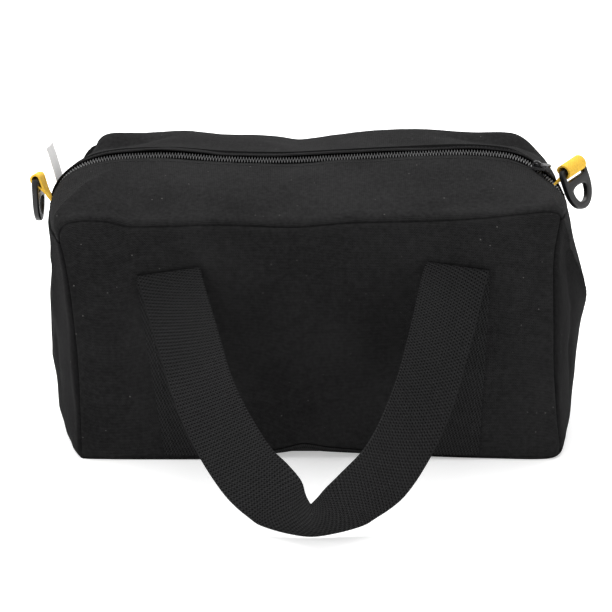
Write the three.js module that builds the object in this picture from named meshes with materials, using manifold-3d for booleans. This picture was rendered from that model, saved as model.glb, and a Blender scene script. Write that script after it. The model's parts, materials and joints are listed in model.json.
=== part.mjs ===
// Canvas garden tool bag: a soft box with a zipped top, two webbing handles and a ring at each end.
// Millimetres, +Z up, front at -Y, origin on the ground under the middle of the bag.
import * as THREE from 'three';
import { mergeVertices } from 'three/addons/utils/BufferGeometryUtils.js';
import Module from 'manifold-3d';

const wasm = await Module();
wasm.setup();

// ---- Driving sizes -------------------------------------------------------------------------
const bagLength = 390;          // between the two end seams
const bagDepth = 200;           // between the front and rear seams
const frontSeamHeight = 199;    // top edge of the front, where the zipped top begins
const rearSeamHeight = 213;     // the rear stands a little higher than the front
const zipCrest = 223;           // highest point of the zip's chain
const canvas = 2.4;             // canvas with its lining and seam allowance
const gap = 0.4;                // clearance between neighbouring pieces
const frontBulge = 5;           // how far the full front and rear stand out at the middle
const leftBulge = 18;           // how far each end stands out
const rightBulge = 28;
const leftSeamHeight = 184;     // where the top, wrapped over each end, meets the end panel
const rightSeamHeight = 187;
const flapHalfLength = 150;     // the part of the top that opens
const boardThickness = 3;       // stiff board inside, on the bottom
const boardInset = 9;           // from the seams to the board's edge

const webbing = 2;              // thickness of the handle webbing
const webbingWidth = 50;
const handleSpacing = 111.5;    // from the middle of the bag to each strap's centre line
const foldHeight = 158;         // where the straps end and the handles fold forward
const handleReach = 157;        // how far the resting handle reaches out from the bag
const foldGap = 2.2;            // from the fold line to the strap's top edge

const coilHalfHeight = 1.2;     // zip coil, one side
const coilInner = 0.8;          // from the middle of the zip to the coil
const coilOuter = 3.6;
const tapeOuter = 12;           // zip tape's far edge
const tapeHalfThickness = 0.4;
const foldedEdge = 7.5;         // folded edge of the canvas beside the zip
const stripLift = 4.2;          // canvas surface above the chain's mid height
const sliderRestX = bagLength / 2 - 11;   // closed, at the right end
const sliderRestZ = 211;
const sliderFarX = 23 - bagLength / 2;    // open, at the left end
const sliderFarZ = 218.5;
const sliderLength = 14;
const sliderHalfWidth = 6.5;
const sliderGapHalf = 1.7;      // half the space between the slider's two plates
const sliderPlate = 2;
const stopReach = 6;            // from the slider's middle to the far face of the zip's end stop
const stopLength = 1.8;
const tabLength = 12;
const tabWidth = 8.5;
const tabThickness = 1.4;

const ringHalfWidth = 17;
const ringDrop = 35;            // from the bar's axis to the ring's lowest point
const ringThickness = 5;
const ringBarHalf = 2.4;
const ringSlotHalf = 13.2;      // half the slot that the loop passes through
const ringSlotEnd = 10;         // slot's lower edge, from the bar's axis
const ringBridge = 4.5;         // crossbar under the slot
const ringRim = 5.6;            // side and lower rim around the eye
const loopWidth = 25;
const loopThickness = 2;
const loopInner = 3.9;          // the loop's eye around the bar
const leftBar = [-bagLength / 2 - 27, 0, 206];
const leftBarAxis = [0, 1, 0];
const leftHang = [0, 0, -1];
const leftTailEnd = [-bagLength / 2 - 12, 0, 187];
const ringStandOff = 1;         // the right ring's width clears the end seam by this
const rightBar = [bagLength / 2 + ringHalfWidth + ringStandOff, 1, 213];
const rightBarAxis = [0.61, 0.77, 0.17];
const rightHang = [0.33, -0.056, -0.94];
const rightTail = [-0.45, 0.5, -0.9];
const rightTailLength = 11;

const labelWidth = 26;
const labelHeight = 44;
const labelThickness = 1;

const colours = {
  canvas: 0x262626, webbing: 0x333333, yellow: 0xf2b632, plastic: 0x1c1c1c, metal: 0x2a2a2c, label: 0xf2f0ec,
  board: 0x4a4a4a, coil: 0x3a3a3a,
};

// ---- Helpers -------------------------------------------------------------------------------
const vec = (x, y, z) => new THREE.Vector3(x, y, z);
const mix = (a, b, t) => a + (b - a) * t;
const range = (from, to, steps) => Array.from({ length: steps + 1 }, (_, i) => mix(from, to, i / steps));

function material(colour, roughness, metalness = 0) {
  return new THREE.MeshStandardMaterial({ color: colour, roughness, metalness });
}

const canvasMaterial = () => material(colours.canvas, 0.9);
const webbingMaterial = () => material(colours.webbing, 0.8);
const plasticMaterial = () => material(colours.plastic, 0.4);

const bag = new THREE.Group();

function add(name, geometry, look) {
  const mesh = new THREE.Mesh(geometry, look);
  mesh.name = name;
  bag.add(mesh);
  return mesh;
}

function signedVolume(points, triangles) {
  let volume = 0;
  for (let i = 0; i < triangles.length; i += 3) {
    const [a, b, c] = [points[triangles[i]], points[triangles[i + 1]], points[triangles[i + 2]]];
    volume += a.dot(b.clone().cross(c)) / 6;
  }
  return volume;
}

function geometryOf(points, triangles) {
  const geometry = new THREE.BufferGeometry();
  geometry.setAttribute('position', new THREE.Float32BufferAttribute(points.flatMap((p) => p.toArray()), 3));
  geometry.setIndex(triangles);
  geometry.computeVertexNormals();
  return geometry;
}

// A closed sheet between two grids of points, each an array of rows of the same length.
function slab(outer, inner) {
  const rows = outer.length;
  const columns = outer[0].length;
  const points = [...outer.flat(), ...inner.flat()];
  const half = rows * columns;
  const at = (layer, r, c) => layer * half + r * columns + c;
  const triangles = [];
  const quad = (a, b, c, d) => triangles.push(a, b, c, a, c, d);
  for (let r = 0; r < rows - 1; r++) {
    for (let c = 0; c < columns - 1; c++) {
      quad(at(0, r, c), at(0, r, c + 1), at(0, r + 1, c + 1), at(0, r + 1, c));
      quad(at(1, r, c), at(1, r + 1, c), at(1, r + 1, c + 1), at(1, r, c + 1));
    }
  }
  for (let c = 0; c < columns - 1; c++) {
    quad(at(0, 0, c), at(1, 0, c), at(1, 0, c + 1), at(0, 0, c + 1));
    quad(at(0, rows - 1, c + 1), at(1, rows - 1, c + 1), at(1, rows - 1, c), at(0, rows - 1, c));
  }
  for (let r = 0; r < rows - 1; r++) {
    quad(at(0, r + 1, 0), at(1, r + 1, 0), at(1, r, 0), at(0, r, 0));
    quad(at(0, r, columns - 1), at(1, r, columns - 1), at(1, r + 1, columns - 1), at(0, r + 1, columns - 1));
  }
  if (signedVolume(points, triangles) < 0) {
    triangles.reverse();
  }
  return geometryOf(points, triangles);
}

const grid = (rows, columns, point) => rows.map((r) => columns.map((c) => point(r, c)));
const shifted = (rows, offset) => rows.map((row) => row.map((p) => p.clone().add(offset(p))));

function toSolid(geometry) {
  const bare = geometry.clone();
  bare.deleteAttribute('normal');
  bare.deleteAttribute('uv');
  const merged = mergeVertices(bare, 1e-4);
  return new wasm.Manifold(new wasm.Mesh({
    numProp: 3,
    vertProperties: new Float32Array(merged.attributes.position.array),
    triVerts: new Uint32Array(merged.index.array),
  }));
}

function fromSolid(solid) {
  const mesh = solid.getMesh();
  const geometry = new THREE.BufferGeometry();
  geometry.setAttribute('position', new THREE.BufferAttribute(new Float32Array(mesh.vertProperties), 3));
  geometry.setIndex(new THREE.BufferAttribute(new Uint32Array(mesh.triVerts), 1));
  return geometry;
}

function block(low, high) {
  const box = new THREE.BoxGeometry(high[0] - low[0], high[1] - low[1], high[2] - low[2]);
  return box.translate((low[0] + high[0]) / 2, (low[1] + high[1]) / 2, (low[2] + high[2]) / 2);
}

// ---- The zip's arc -------------------------------------------------------------------------
// The slider's two end positions and the crest fix a circle in the XZ plane.
function circleThrough([x1, z1], [x2, z2], sagitta) {
  const chord = Math.hypot(x1 - x2, z1 - z2);
  const radius = (chord * chord / 4 + sagitta * sagitta) / (2 * sagitta);
  const up = [(z2 - z1) / chord, (x1 - x2) / chord];
  const drop = radius - sagitta;
  return { x: (x1 + x2) / 2 - up[0] * drop, z: (z1 + z2) / 2 - up[1] * drop, radius };
}

const zipSagitta = zipCrest - (sliderRestZ + sliderFarZ) / 2;
const zipArc = circleThrough([sliderRestX, sliderRestZ], [sliderFarX, sliderFarZ], zipSagitta);
const zipHeight = (x) => zipArc.z + Math.sqrt(zipArc.radius ** 2 - (x - zipArc.x) ** 2);

// ---- The bag's outer surface ---------------------------------------------------------------
const halfLength = bagLength / 2;
const halfDepth = bagDepth / 2;
const sideOf = {
  left: { sign: -1, bulge: leftBulge, seam: leftSeamHeight },
  right: { sign: 1, bulge: rightBulge, seam: rightSeamHeight },
};

// How far an end panel stands out, at depth y and height z.
function endBulge(side, y, z) {
  const across = 1 - (y / halfDepth) ** 2;
  const up = 0.45 + 0.55 * Math.sin(Math.PI * THREE.MathUtils.clamp(z / side.seam, 0, 1));
  return side.bulge * Math.max(0, across) * up;
}

// How far the front or rear stands out, at x and height z.
function faceBulge(x, z) {
  const across = Math.max(0, 1 - (x / halfLength) ** 2);
  return frontBulge * across * Math.sin(Math.PI * THREE.MathUtils.clamp(z / frontSeamHeight, 0, 1));
}

// The top's height at x within the opening part. t runs from -1 at the front seam to 1 at the rear seam.
function topHeight(x, t) {
  const seam = t < 0 ? frontSeamHeight : rearSeamHeight;
  const fullness = t < 0 ? 1.7 : 2.4;
  return mix(seam, zipHeight(x) + stripLift, 1 - Math.abs(t) ** fullness);
}

// The top wrapped over an end: angle 0 where the opening part stops, a quarter turn at the end seam.
function wrapPoint(side, t, angle) {
  const startZ = topHeight(side.sign * flapHalfLength, t);
  const y = t * halfDepth;
  const endX = halfLength + endBulge(side, y, side.seam);
  const x = mix(flapHalfLength, endX, Math.sin(angle));
  const z = mix(side.seam, startZ, Math.max(0, Math.cos(angle)));
  return vec(side.sign * x, y, z);
}

// The wrap moved inwards, square to its curve, by a distance.
function wrapInside(side, t, angle, distance) {
  const step = 0.01;
  const before = wrapPoint(side, t, Math.max(0, angle - step));
  const after = wrapPoint(side, t, Math.min(Math.PI / 2, angle + step));
  const along = after.sub(before).setY(0).normalize();
  const inward = vec(along.z * side.sign, 0, -along.x * side.sign);
  if (angle === 0) {
    inward.set(0, 0, -1);
  }
  if (angle === Math.PI / 2) {
    inward.set(-side.sign, 0, 0);
  }
  return wrapPoint(side, t, angle).addScaledVector(inward, distance);
}

const wrapAngles = [0, 20, 38, 52, 64, 74, 83, 90].map((degrees) => degrees / 90 * (Math.PI / 2));

// ---- Front and rear panels -----------------------------------------------------------------
// Top edge of a panel: level under the opening part, then the corners follow the wrapped top.
function panelTopEdge(t) {
  const clear = canvas + gap;
  const corner = (side) => wrapAngles.slice(1).map((angle) => wrapInside(side, t, angle, clear));
  const seam = t < 0 ? frontSeamHeight : rearSeamHeight;
  const middle = range(-flapHalfLength, flapHalfLength, 8).map((x) => vec(x, t * halfDepth, seam - clear));
  return [...corner(sideOf.left).reverse(), ...middle, ...corner(sideOf.right)];
}

function facePanel(name, facing) {
  const top = panelTopEdge(facing);
  const foot = canvas + gap;
  const outer = grid(range(0, 1, 7), top, (v, edge) => {
    const end = edge.x < 0 ? top[0] : top[top.length - 1];
    const footX = edge.x * halfLength / Math.abs(end.x);
    const x = mix(footX, edge.x, v);
    const z = mix(foot, edge.z, v);
    return vec(x, facing * (halfDepth + faceBulge(x, z)), z);
  });
  const inner = shifted(outer, () => vec(0, -facing * canvas, 0));
  add(name, slab(outer, inner), canvasMaterial());
}

facePanel('front_panel', -1);
facePanel('back_panel', 1);

// ---- End panels ----------------------------------------------------------------------------
function endPanel(name, side) {
  const reach = halfDepth - canvas - gap;
  const outer = grid(range(canvas + gap, side.seam - gap, 8), range(-reach, reach, 8), (z, y) => (
    vec(side.sign * (halfLength + endBulge(side, y, z)), y, z)
  ));
  const inner = shifted(outer, () => vec(-side.sign * canvas, 0, 0));
  add(name, slab(outer, inner), canvasMaterial());
}

endPanel('left_end_panel', sideOf.left);
endPanel('right_end_panel', sideOf.right);

// ---- Bottom and its stiffening board -------------------------------------------------------
function bottomPanel() {
  const outer = grid(range(-halfDepth, halfDepth, 10), range(0, 1, 4), (y, s) => {
    const left = -halfLength - endBulge(sideOf.left, y, 0);
    const right = halfLength + endBulge(sideOf.right, y, 0);
    return vec(mix(left, right, s), y, 0);
  });
  add('bottom_panel', slab(outer, shifted(outer, () => vec(0, 0, canvas))), canvasMaterial());
}

function roundedRectangle(halfX, halfY, radius) {
  const shape = new THREE.Shape();
  shape.absarc(halfX - radius, halfY - radius, radius, 0, Math.PI / 2);
  shape.absarc(radius - halfX, halfY - radius, radius, Math.PI / 2, Math.PI);
  shape.absarc(radius - halfX, radius - halfY, radius, Math.PI, 1.5 * Math.PI);
  shape.absarc(halfX - radius, radius - halfY, radius, 1.5 * Math.PI, 2 * Math.PI);
  shape.closePath();
  return shape;
}

function baseBoard() {
  const outline = roundedRectangle(halfLength - boardInset, halfDepth - boardInset, 12);
  const settings = { depth: boardThickness, bevelEnabled: false, curveSegments: 5 };
  const board = new THREE.ExtrudeGeometry(outline, settings);
  add('base_board', board.translate(0, 0, canvas + gap), material(colours.board, 0.7));
}

bottomPanel();
baseBoard();

// ---- The zipped top ------------------------------------------------------------------------
// Each half opens: a canvas strip, the zip tape under its edge, and one side of the coil.
function topHalf(label, facing) {
  const length = range(-flapHalfLength + gap, flapHalfLength - gap, 14);
  const innerShare = foldedEdge / halfDepth;
  const strip = grid(range(1, innerShare, 7), length, (t, x) => (
    vec(x, facing * t * halfDepth, topHeight(x, facing * t))
  ));
  add(`top_${label}_strip`, slab(strip, shifted(strip, () => vec(0, 0, -canvas))), canvasMaterial());
  const tape = grid([tapeOuter, coilOuter + gap], length, (y, x) => (
    vec(x, facing * y, zipHeight(x) + tapeHalfThickness)
  ));
  const tapeUnder = shifted(tape, () => vec(0, 0, -2 * tapeHalfThickness));
  add(`zip_${label}_tape`, slab(tape, tapeUnder), canvasMaterial());
  const coilPoint = (y, x) => vec(x, facing * y, zipHeight(x) + coilHalfHeight);
  const coil = grid([coilOuter, coilInner], length, coilPoint);
  const under = shifted(coil, () => vec(0, 0, -2 * coilHalfHeight));
  add(`zip_${label}_coil`, slab(coil, under), material(colours.coil, 0.45));
}

topHalf('front', -1);
topHalf('rear', 1);

// Fixed ends of the top, wrapped over the bag's ends, with a slot where the slider parks.
function topEnd(name, side, slotEnd) {
  const across = [-1, -0.82, -0.6, -0.36, -0.14, 0, 0.14, 0.36, 0.6, 0.82, 1];
  const outer = grid(wrapAngles, across, (angle, t) => wrapPoint(side, t, angle));
  const inner = grid(wrapAngles, across, (angle, t) => wrapInside(side, t, angle, canvas));
  const low = Math.min(side.sign * (flapHalfLength - 2), slotEnd);
  const high = Math.max(side.sign * (flapHalfLength - 2), slotEnd);
  const slot = block([low, -foldedEdge, leftSeamHeight], [high, foldedEdge, zipCrest + 20]);
  add(name, fromSolid(toSolid(slab(outer, inner)).subtract(toSolid(slot))), canvasMaterial());
}

const rightSlotEnd = sliderRestX + sliderLength / 2 + 2.5;
const leftSlotEnd = sliderFarX - sliderLength / 2 - 2.5;
topEnd('left_top_end', sideOf.left, leftSlotEnd);
topEnd('right_top_end', sideOf.right, rightSlotEnd);

// The zip's fixed end: both coils and tapes run on into the slot and are joined by a crimped stop.
function zipEnd(name, side, sliderX) {
  const stopFar = sliderX + side.sign * stopReach;
  const stopNear = stopFar - side.sign * stopLength;
  const along = range(side.sign * (flapHalfLength + gap), stopFar, 6);
  const bar = (inner, outer, halfHeight) => {
    const upper = grid([inner, outer], along, (y, x) => vec(x, y, zipHeight(x) + halfHeight));
    return toSolid(slab(upper, shifted(upper, () => vec(0, 0, -2 * halfHeight))));
  };
  const stop = block([Math.min(stopNear, stopFar), -coilOuter, -coilHalfHeight + 0.1],
    [Math.max(stopNear, stopFar), coilOuter, coilHalfHeight - 0.1]);
  let chain = toSolid(stop.translate(0, 0, zipHeight(stopFar)));
  for (const half of [-1, 1]) {
    chain = chain.add(bar(half * coilInner, half * coilOuter, coilHalfHeight));
    chain = chain.add(bar(half * (coilOuter - 0.2), half * (foldedEdge - gap), tapeHalfThickness));
  }
  add(name, fromSolid(chain), material(colours.coil, 0.45));
}

zipEnd('zip_left_end', sideOf.left, sliderFarX);
zipEnd('zip_right_end', sideOf.right, sliderRestX);

// ---- Slider and pull tab -------------------------------------------------------------------
const bridgeOuter = 4.4;
const bridgeInner = 2.6;
const bridgeHalfWidth = 1.2;
const pivotLift = sliderGapHalf + sliderPlate + 1.3;
const tabBar = 1.6;

function platform(bottom) {
  return toSolid(block([-sliderLength / 2, -sliderHalfWidth, bottom],
    [sliderLength / 2, sliderHalfWidth, bottom + sliderPlate]));
}

function bridge() {
  const arch = new THREE.Shape();
  arch.absarc(0, 0, bridgeOuter, 0, Math.PI);
  arch.absarc(0, 0, bridgeInner, Math.PI, 0, true);
  arch.closePath();
  const settings = { depth: 2 * bridgeHalfWidth, bevelEnabled: false, curveSegments: 10 };
  const solid = new THREE.ExtrudeGeometry(arch, settings);
  solid.rotateX(Math.PI / 2).translate(0, bridgeHalfWidth, sliderGapHalf + sliderPlate - 0.1);
  return toSolid(solid);
}

function atSliderRest(geometry) {
  const tilt = Math.asin((sliderRestX - zipArc.x) / zipArc.radius);
  return geometry.rotateY(tilt).translate(sliderRestX, 0, sliderRestZ);
}

function slider() {
  const post = toSolid(block([-2.5, -0.4, -sliderGapHalf - 0.2], [2.5, 0.4, sliderGapHalf + 0.2]));
  const body = platform(sliderGapHalf).add(platform(-sliderGapHalf - sliderPlate)).add(post).add(bridge());
  add('zip_slider', atSliderRest(fromSolid(body)), material(colours.metal, 0.35, 0.9));
}

function pullTab() {
  const outline = new THREE.Shape();
  const half = tabWidth / 2;
  const start = -tabBar / 2;
  outline.moveTo(start, -half + 1.5);
  outline.lineTo(start, half - 1.5);
  outline.lineTo(start + 4, half);
  outline.lineTo(tabLength - half, half);
  outline.absarc(tabLength - half, 0, half, Math.PI / 2, -Math.PI / 2, true);
  outline.lineTo(start + 4, -half);
  outline.closePath();
  const eye = new THREE.Path();
  const eyeHalf = bridgeHalfWidth + gap;
  eye.moveTo(tabBar / 2, -eyeHalf);
  eye.lineTo(bridgeOuter + 1, -eyeHalf);
  eye.lineTo(bridgeOuter + 1, eyeHalf);
  eye.lineTo(tabBar / 2, eyeHalf);
  eye.closePath();
  outline.holes.push(eye);
  const settings = { depth: tabThickness, bevelEnabled: false, curveSegments: 10 };
  const tab = new THREE.ExtrudeGeometry(outline, settings);
  tab.translate(0, 0, pivotLift - tabThickness / 2);
  add('zip_pull_tab', atSliderRest(tab), material(colours.metal, 0.35, 0.9));
}

slider();
pullTab();

// ---- Straps and handles --------------------------------------------------------------------
const strapBack = gap;                                   // straps lie just off the panel
const foldY = halfDepth + faceBulge(handleSpacing, foldHeight) + strapBack + webbing / 2;

function strap(name, facing, centreX) {
  const edges = [centreX - webbingWidth / 2, centreX, centreX + webbingWidth / 2];
  const heights = range(canvas + gap, foldHeight - foldGap, 7);
  const back = grid(heights, edges, (z, x) => vec(x, facing * (halfDepth + faceBulge(x, z) + strapBack), z));
  add(name, slab(back, shifted(back, () => vec(0, facing * webbing, 0))), webbingMaterial());
}

for (const [end, facing] of [['front', -1], ['rear', 1]]) {
  strap(`${end}_left_strap`, facing, -handleSpacing);
  strap(`${end}_right_strap`, facing, handleSpacing);
}

// Half of a handle at rest, from the fold to the middle of the grip: its place between the strap and the
// bag's middle, out from the fold and up, each as a share of the whole, and the direction of its width.
const handleRoute = [
  { aside: 1, out: 0.018, up: 0.985, across: [-1, 0, 0] },
  { aside: 0.874, out: 0.225, up: 0.807, across: [-47, 4, -13] },
  { aside: 0.758, out: 0.454, up: 0.611, across: [-45, 10, -21] },
  { aside: 0.601, out: 0.684, up: 0.415, across: [-42, 16, -27] },
  { aside: 0.39, out: 0.869, up: 0.253, across: [-35, 12, -35] },
  { aside: 0.18, out: 0.968, up: 0.168, across: [-22, 19, -38] },
  { aside: 0, out: 1, up: 0.137, across: [0, 27, -41] },
];

function handleStations(facing) {
  const half = handleRoute.map(({ aside, out, up, across }) => ({
    centre: vec(-aside * handleSpacing, facing * (foldY + out * handleReach), up * foldHeight),
    across: vec(across[0], -facing * across[1], across[2]).normalize(),
  }));
  const otherHalf = half.slice(0, -1).reverse().map(({ centre, across }) => ({
    centre: vec(-centre.x, centre.y, centre.z),
    across: vec(-across.x, across.y, across.z),
  }));
  return [...half, ...otherHalf];
}

function handle(name, facing) {
  const stations = handleStations(facing);
  const centreLine = new THREE.CatmullRomCurve3(stations.map((s) => s.centre), false, 'centripetal');
  const widthLine = new THREE.CatmullRomCurve3(stations.map((s) => s.across), false, 'catmullrom');
  const rows = range(0, 1, 48).map((u) => {
    const centre = centreLine.getPoint(u);
    const across = widthLine.getPoint(u).normalize();
    const along = centreLine.getTangent(u);
    const face = along.clone().cross(across).normalize();
    const edge = (side, lift) => centre.clone().addScaledVector(across, side * webbingWidth / 2)
      .addScaledVector(face, lift * webbing / 2);
    return { upper: [edge(-1, 1), edge(1, 1)], lower: [edge(-1, -1), edge(1, -1)] };
  });
  add(name, slab(rows.map((r) => r.upper), rows.map((r) => r.lower)), webbingMaterial());
}

handle('front_handle', -1);
handle('rear_handle', 1);

// ---- Rings and their loops -----------------------------------------------------------------
// Sets geometry drawn with x along the bar, y down the ring and z through it, into place.
function place(geometry, origin, barAxis, hang) {
  const along = vec(...barAxis).normalize();
  const down = vec(...hang);
  down.addScaledVector(along, -down.dot(along)).normalize();
  const through = along.clone().cross(down);
  const basis = new THREE.Matrix4().makeBasis(along, down, through).setPosition(...origin);
  return geometry.applyMatrix4(basis);
}

function ringOutline() {
  const shoulder = ringSlotEnd + ringBridge;
  const outline = new THREE.Shape();
  outline.moveTo(-ringHalfWidth, 0);
  outline.lineTo(-ringHalfWidth + 2, -ringBarHalf);
  outline.lineTo(ringHalfWidth - 2, -ringBarHalf);
  outline.lineTo(ringHalfWidth, 0);
  outline.lineTo(ringHalfWidth, shoulder);
  outline.absellipse(0, shoulder, ringHalfWidth, ringDrop - shoulder, 0, Math.PI);
  outline.closePath();
  return outline;
}

function ringSlot() {
  const slot = new THREE.Path();
  slot.moveTo(-ringSlotHalf, ringBarHalf);
  slot.lineTo(ringSlotHalf, ringBarHalf);
  slot.lineTo(ringSlotHalf, ringSlotEnd);
  slot.lineTo(-ringSlotHalf, ringSlotEnd);
  slot.closePath();
  return slot;
}

function ringEye() {
  const shoulder = ringSlotEnd + ringBridge;
  const eye = new THREE.Path();
  eye.moveTo(-ringHalfWidth + ringRim, shoulder);
  eye.lineTo(ringHalfWidth - ringRim, shoulder);
  eye.absellipse(0, shoulder + 1, ringHalfWidth - ringRim, ringDrop - shoulder - ringRim - 1, 0, Math.PI);
  eye.closePath();
  return eye;
}

function ring(name, bar, barAxis, hang) {
  const outline = ringOutline();
  outline.holes.push(ringSlot(), ringEye());
  const settings = { depth: ringThickness, bevelEnabled: false, curveSegments: 16 };
  const solid = new THREE.ExtrudeGeometry(outline, settings);
  solid.translate(0, 0, -ringThickness / 2);
  add(name, place(solid, bar, barAxis, hang), plasticMaterial());
}

// A doubled webbing tail that opens into an eye around the ring's bar.
function loop(name, bar, barAxis, tail, tailLength) {
  const outerRadius = loopInner + loopThickness;
  const start = Math.asin(loopThickness / outerRadius);
  const outline = new THREE.Shape();
  outline.absarc(0, 0, outerRadius, Math.PI / 2 + start, Math.PI / 2 - start + 2 * Math.PI);
  outline.lineTo(loopThickness, tailLength);
  outline.lineTo(-loopThickness, tailLength);
  outline.closePath();
  const eye = new THREE.Path();
  eye.absarc(0, 0, loopInner, 0, 2 * Math.PI);
  outline.holes.push(eye);
  const settings = { depth: loopWidth, bevelEnabled: false, curveSegments: 20 };
  const solid = new THREE.ExtrudeGeometry(outline, settings);
  solid.translate(0, 0, -loopWidth / 2).rotateY(Math.PI / 2);
  add(name, place(solid, bar, barAxis, tail), material(colours.yellow, 0.7));
}

const leftTail = vec(...leftTailEnd).sub(vec(...leftBar));
loop('left_loop', leftBar, leftBarAxis, leftTail.toArray(), leftTail.length());
loop('right_loop', rightBar, rightBarAxis, rightTail, rightTailLength);
ring('left_ring', leftBar, leftBarAxis, leftHang);
ring('right_ring', rightBar, rightBarAxis, rightHang);

// ---- Care label ----------------------------------------------------------------------------
function careLabel() {
  const heights = range(0, 1, 5);
  const front = grid(heights, [0, 0.5, 1], (up, across) => {
    const y = loopWidth / 2 + 1 + across * labelWidth;
    const x = -halfLength - leftBulge / 2 - 4 - 6 * up ** 2 - 3 * across;
    return vec(x, y, leftSeamHeight + 4 + up * labelHeight);
  });
  const back = shifted(front, () => vec(labelThickness, 0, 0));
  add('care_label', slab(front, back), material(colours.label, 0.8));
}

careLabel();

export default bag;
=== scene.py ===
"""Looks of a canvas garden tool bag: sewn panels, a zipped top, webbing handles, and a ring at each end.

Lengths in the outlines are millimetres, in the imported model's frame: +Z up, front at -Y.
"""

import json
import math

import bmesh
import bpy
import numpy as np
from mathutils import Matrix, Vector, noise
from mathutils.bvhtree import BVHTree


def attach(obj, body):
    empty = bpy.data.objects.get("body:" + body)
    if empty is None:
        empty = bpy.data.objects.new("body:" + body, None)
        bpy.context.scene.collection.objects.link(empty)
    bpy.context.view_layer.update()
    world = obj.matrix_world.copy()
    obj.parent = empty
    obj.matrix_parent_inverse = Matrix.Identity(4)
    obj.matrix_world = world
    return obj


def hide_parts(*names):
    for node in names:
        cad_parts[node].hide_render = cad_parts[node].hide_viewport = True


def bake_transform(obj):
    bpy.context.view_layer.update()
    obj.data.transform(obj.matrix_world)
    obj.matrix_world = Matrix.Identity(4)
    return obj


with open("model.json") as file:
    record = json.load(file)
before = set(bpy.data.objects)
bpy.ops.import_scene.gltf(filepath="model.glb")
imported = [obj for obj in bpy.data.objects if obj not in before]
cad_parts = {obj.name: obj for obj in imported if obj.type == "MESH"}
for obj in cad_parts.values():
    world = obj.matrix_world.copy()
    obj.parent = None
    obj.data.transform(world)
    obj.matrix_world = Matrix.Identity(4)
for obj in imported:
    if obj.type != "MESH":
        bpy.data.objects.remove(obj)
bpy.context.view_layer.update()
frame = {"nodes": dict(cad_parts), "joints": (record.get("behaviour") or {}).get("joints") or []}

MM = 0.001
STEP = 3.0                # spacing of the points on a cloth panel
FINE_STEP = 0.5           # and beside its seams

# ---- Sizes -----------------------------------------------------------------------------------
CANVAS = 1.6              # canvas with its lining
SEAM_WIDTH = 2.1          # how quickly a panel rolls into its seam
WEBBING = 1.9
WEBBING_WIDTH = 50
FRONT_FULLNESS = 5        # outward curve of the front and rear
TOP_ROLL = 0.8            # how far the top rolls over its front seam
HOLLOW_SHARE = 0.83       # where the rear corners' hollow lies, from the zip to the rear ridge
TOP_FULLNESS = 4.5        # upward curve of the front half of the top

ZIP_TILT = math.radians(24)
TOOTH_PITCH = 2.3         # from one tooth to the next on the same side
TAPE_HALF = 13            # width of one zip tape
FRONT_FOLD_EDGE = 4.4     # folded canvas edges beside the coils
REAR_FOLD_EDGE = 3.9
FRONT_FOLD_LIFT = 0.9
REAR_FOLD_LIFT = 3.0
ALLOWANCE = 13            # folded-in canvas below the top's long seams
SPLIT = 45                # the opening halves are each built in three lengths

LOOP_WIDTH = 25
LEFT_LOOP_WIDTH_AXIS = (0, 0.99, -0.14)   # the left loop is pulled a little lower at the rear
RING_THICK = 5
RING_EDGE = 1.3           # rounding of the rings' moulded edges
LEFT_RING_HANG = (0, 0, -1)
RIGHT_RING_HANG = (0.33, -0.056, -0.94)
LEFT_LOOP_BASE = (-207, 0, 182)           # where each loop is sewn to the bag
RIGHT_LOOP_BASE = (206, 2, 203)
LEFT_LOOP_BASE_AXIS = (0, 0.94, -0.34)    # the webbing's width direction there
LEFT_LOOP_RADIUS = 4.3
RIGHT_LOOP_RADIUS = 6.3
LABEL_HEIGHT = 46

# ---- Seams: how far, and which way, both panels are drawn in at each ---------------------------
FRONT_TOP_TUCK = (0, 3.6, -1.6)
REAR_TOP_TUCK = (0, -2.2, -1.5)
FRONT_LEFT_TUCK = (2.0, 2.0, 0)
FRONT_RIGHT_TUCK = (-2.0, 2.0, 0)
REAR_LEFT_TUCK = (2.0, -2.0, 0)
REAR_RIGHT_TUCK = (-2.0, -2.0, 0)
LEFT_TOP_TUCK = (1.8, 0, -1.2)
RIGHT_TOP_TUCK = (-1.8, 0, -1.2)
FRONT_FOOT_TUCK = (0, 1.6, 0)
REAR_FOOT_TUCK = (0, -1.6, 0)
LEFT_FOOT_TUCK = (1.6, 0, 0)
RIGHT_FOOT_TUCK = (-1.6, 0, 0)

# ---- Outlines, left to right -----------------------------------------------------------------
FRONT_SEAM = [
    (-190.5, -98, 177), (-190.8, -99, 187), (-186, -100, 194.5), (-174, -100, 197.2), (-160, -100, 197.4),
    (-147, -100, 195.2), (-138, -100, 193), (-67, -100, 194), (-10, -100, 191.8), (10, -100, 193.4),
    (33, -100, 195.2), (86, -100, 196.5), (135, -100, 198.7), (167, -100, 202), (187, -100, 203.3),
    (193, -99, 201), (193.8, -98, 195),
]
ZIP_LINE = [
    (-210.5, 0, 182), (-208.5, 0, 191), (-203, 0, 201.5), (-194, 0, 210.7), (-181, 0, 217.6),
    (-161, 0, 222.3), (-113, 0, 224.4), (-67, 0, 221), (-18, 0, 220), (26, 0, 222), (69, 0, 224),
    (125, 0, 225.8), (151, 0, 224.4), (165, 0, 222), (178, 0, 216.5), (188, 0, 208.5),
    (200, 0, 198), (207, 0, 187),
]
REAR_RIDGE = [
    (-203, 84, 186), (-193, 84, 199), (-186.5, 84, 210), (-182.5, 84, 218.5), (-175, 84, 223.4),
    (-145, 84, 224), (-110, 84, 226.4), (-61, 84, 223), (-28, 84, 221), (-11, 84, 218), (8, 84, 220),
    (46, 84, 224), (94, 84, 226.5), (142, 84, 223.5), (174, 84, 222), (185, 84, 216.5),
    (196, 84, 206), (204, 84, 196), (206, 84, 188),
]
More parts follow.
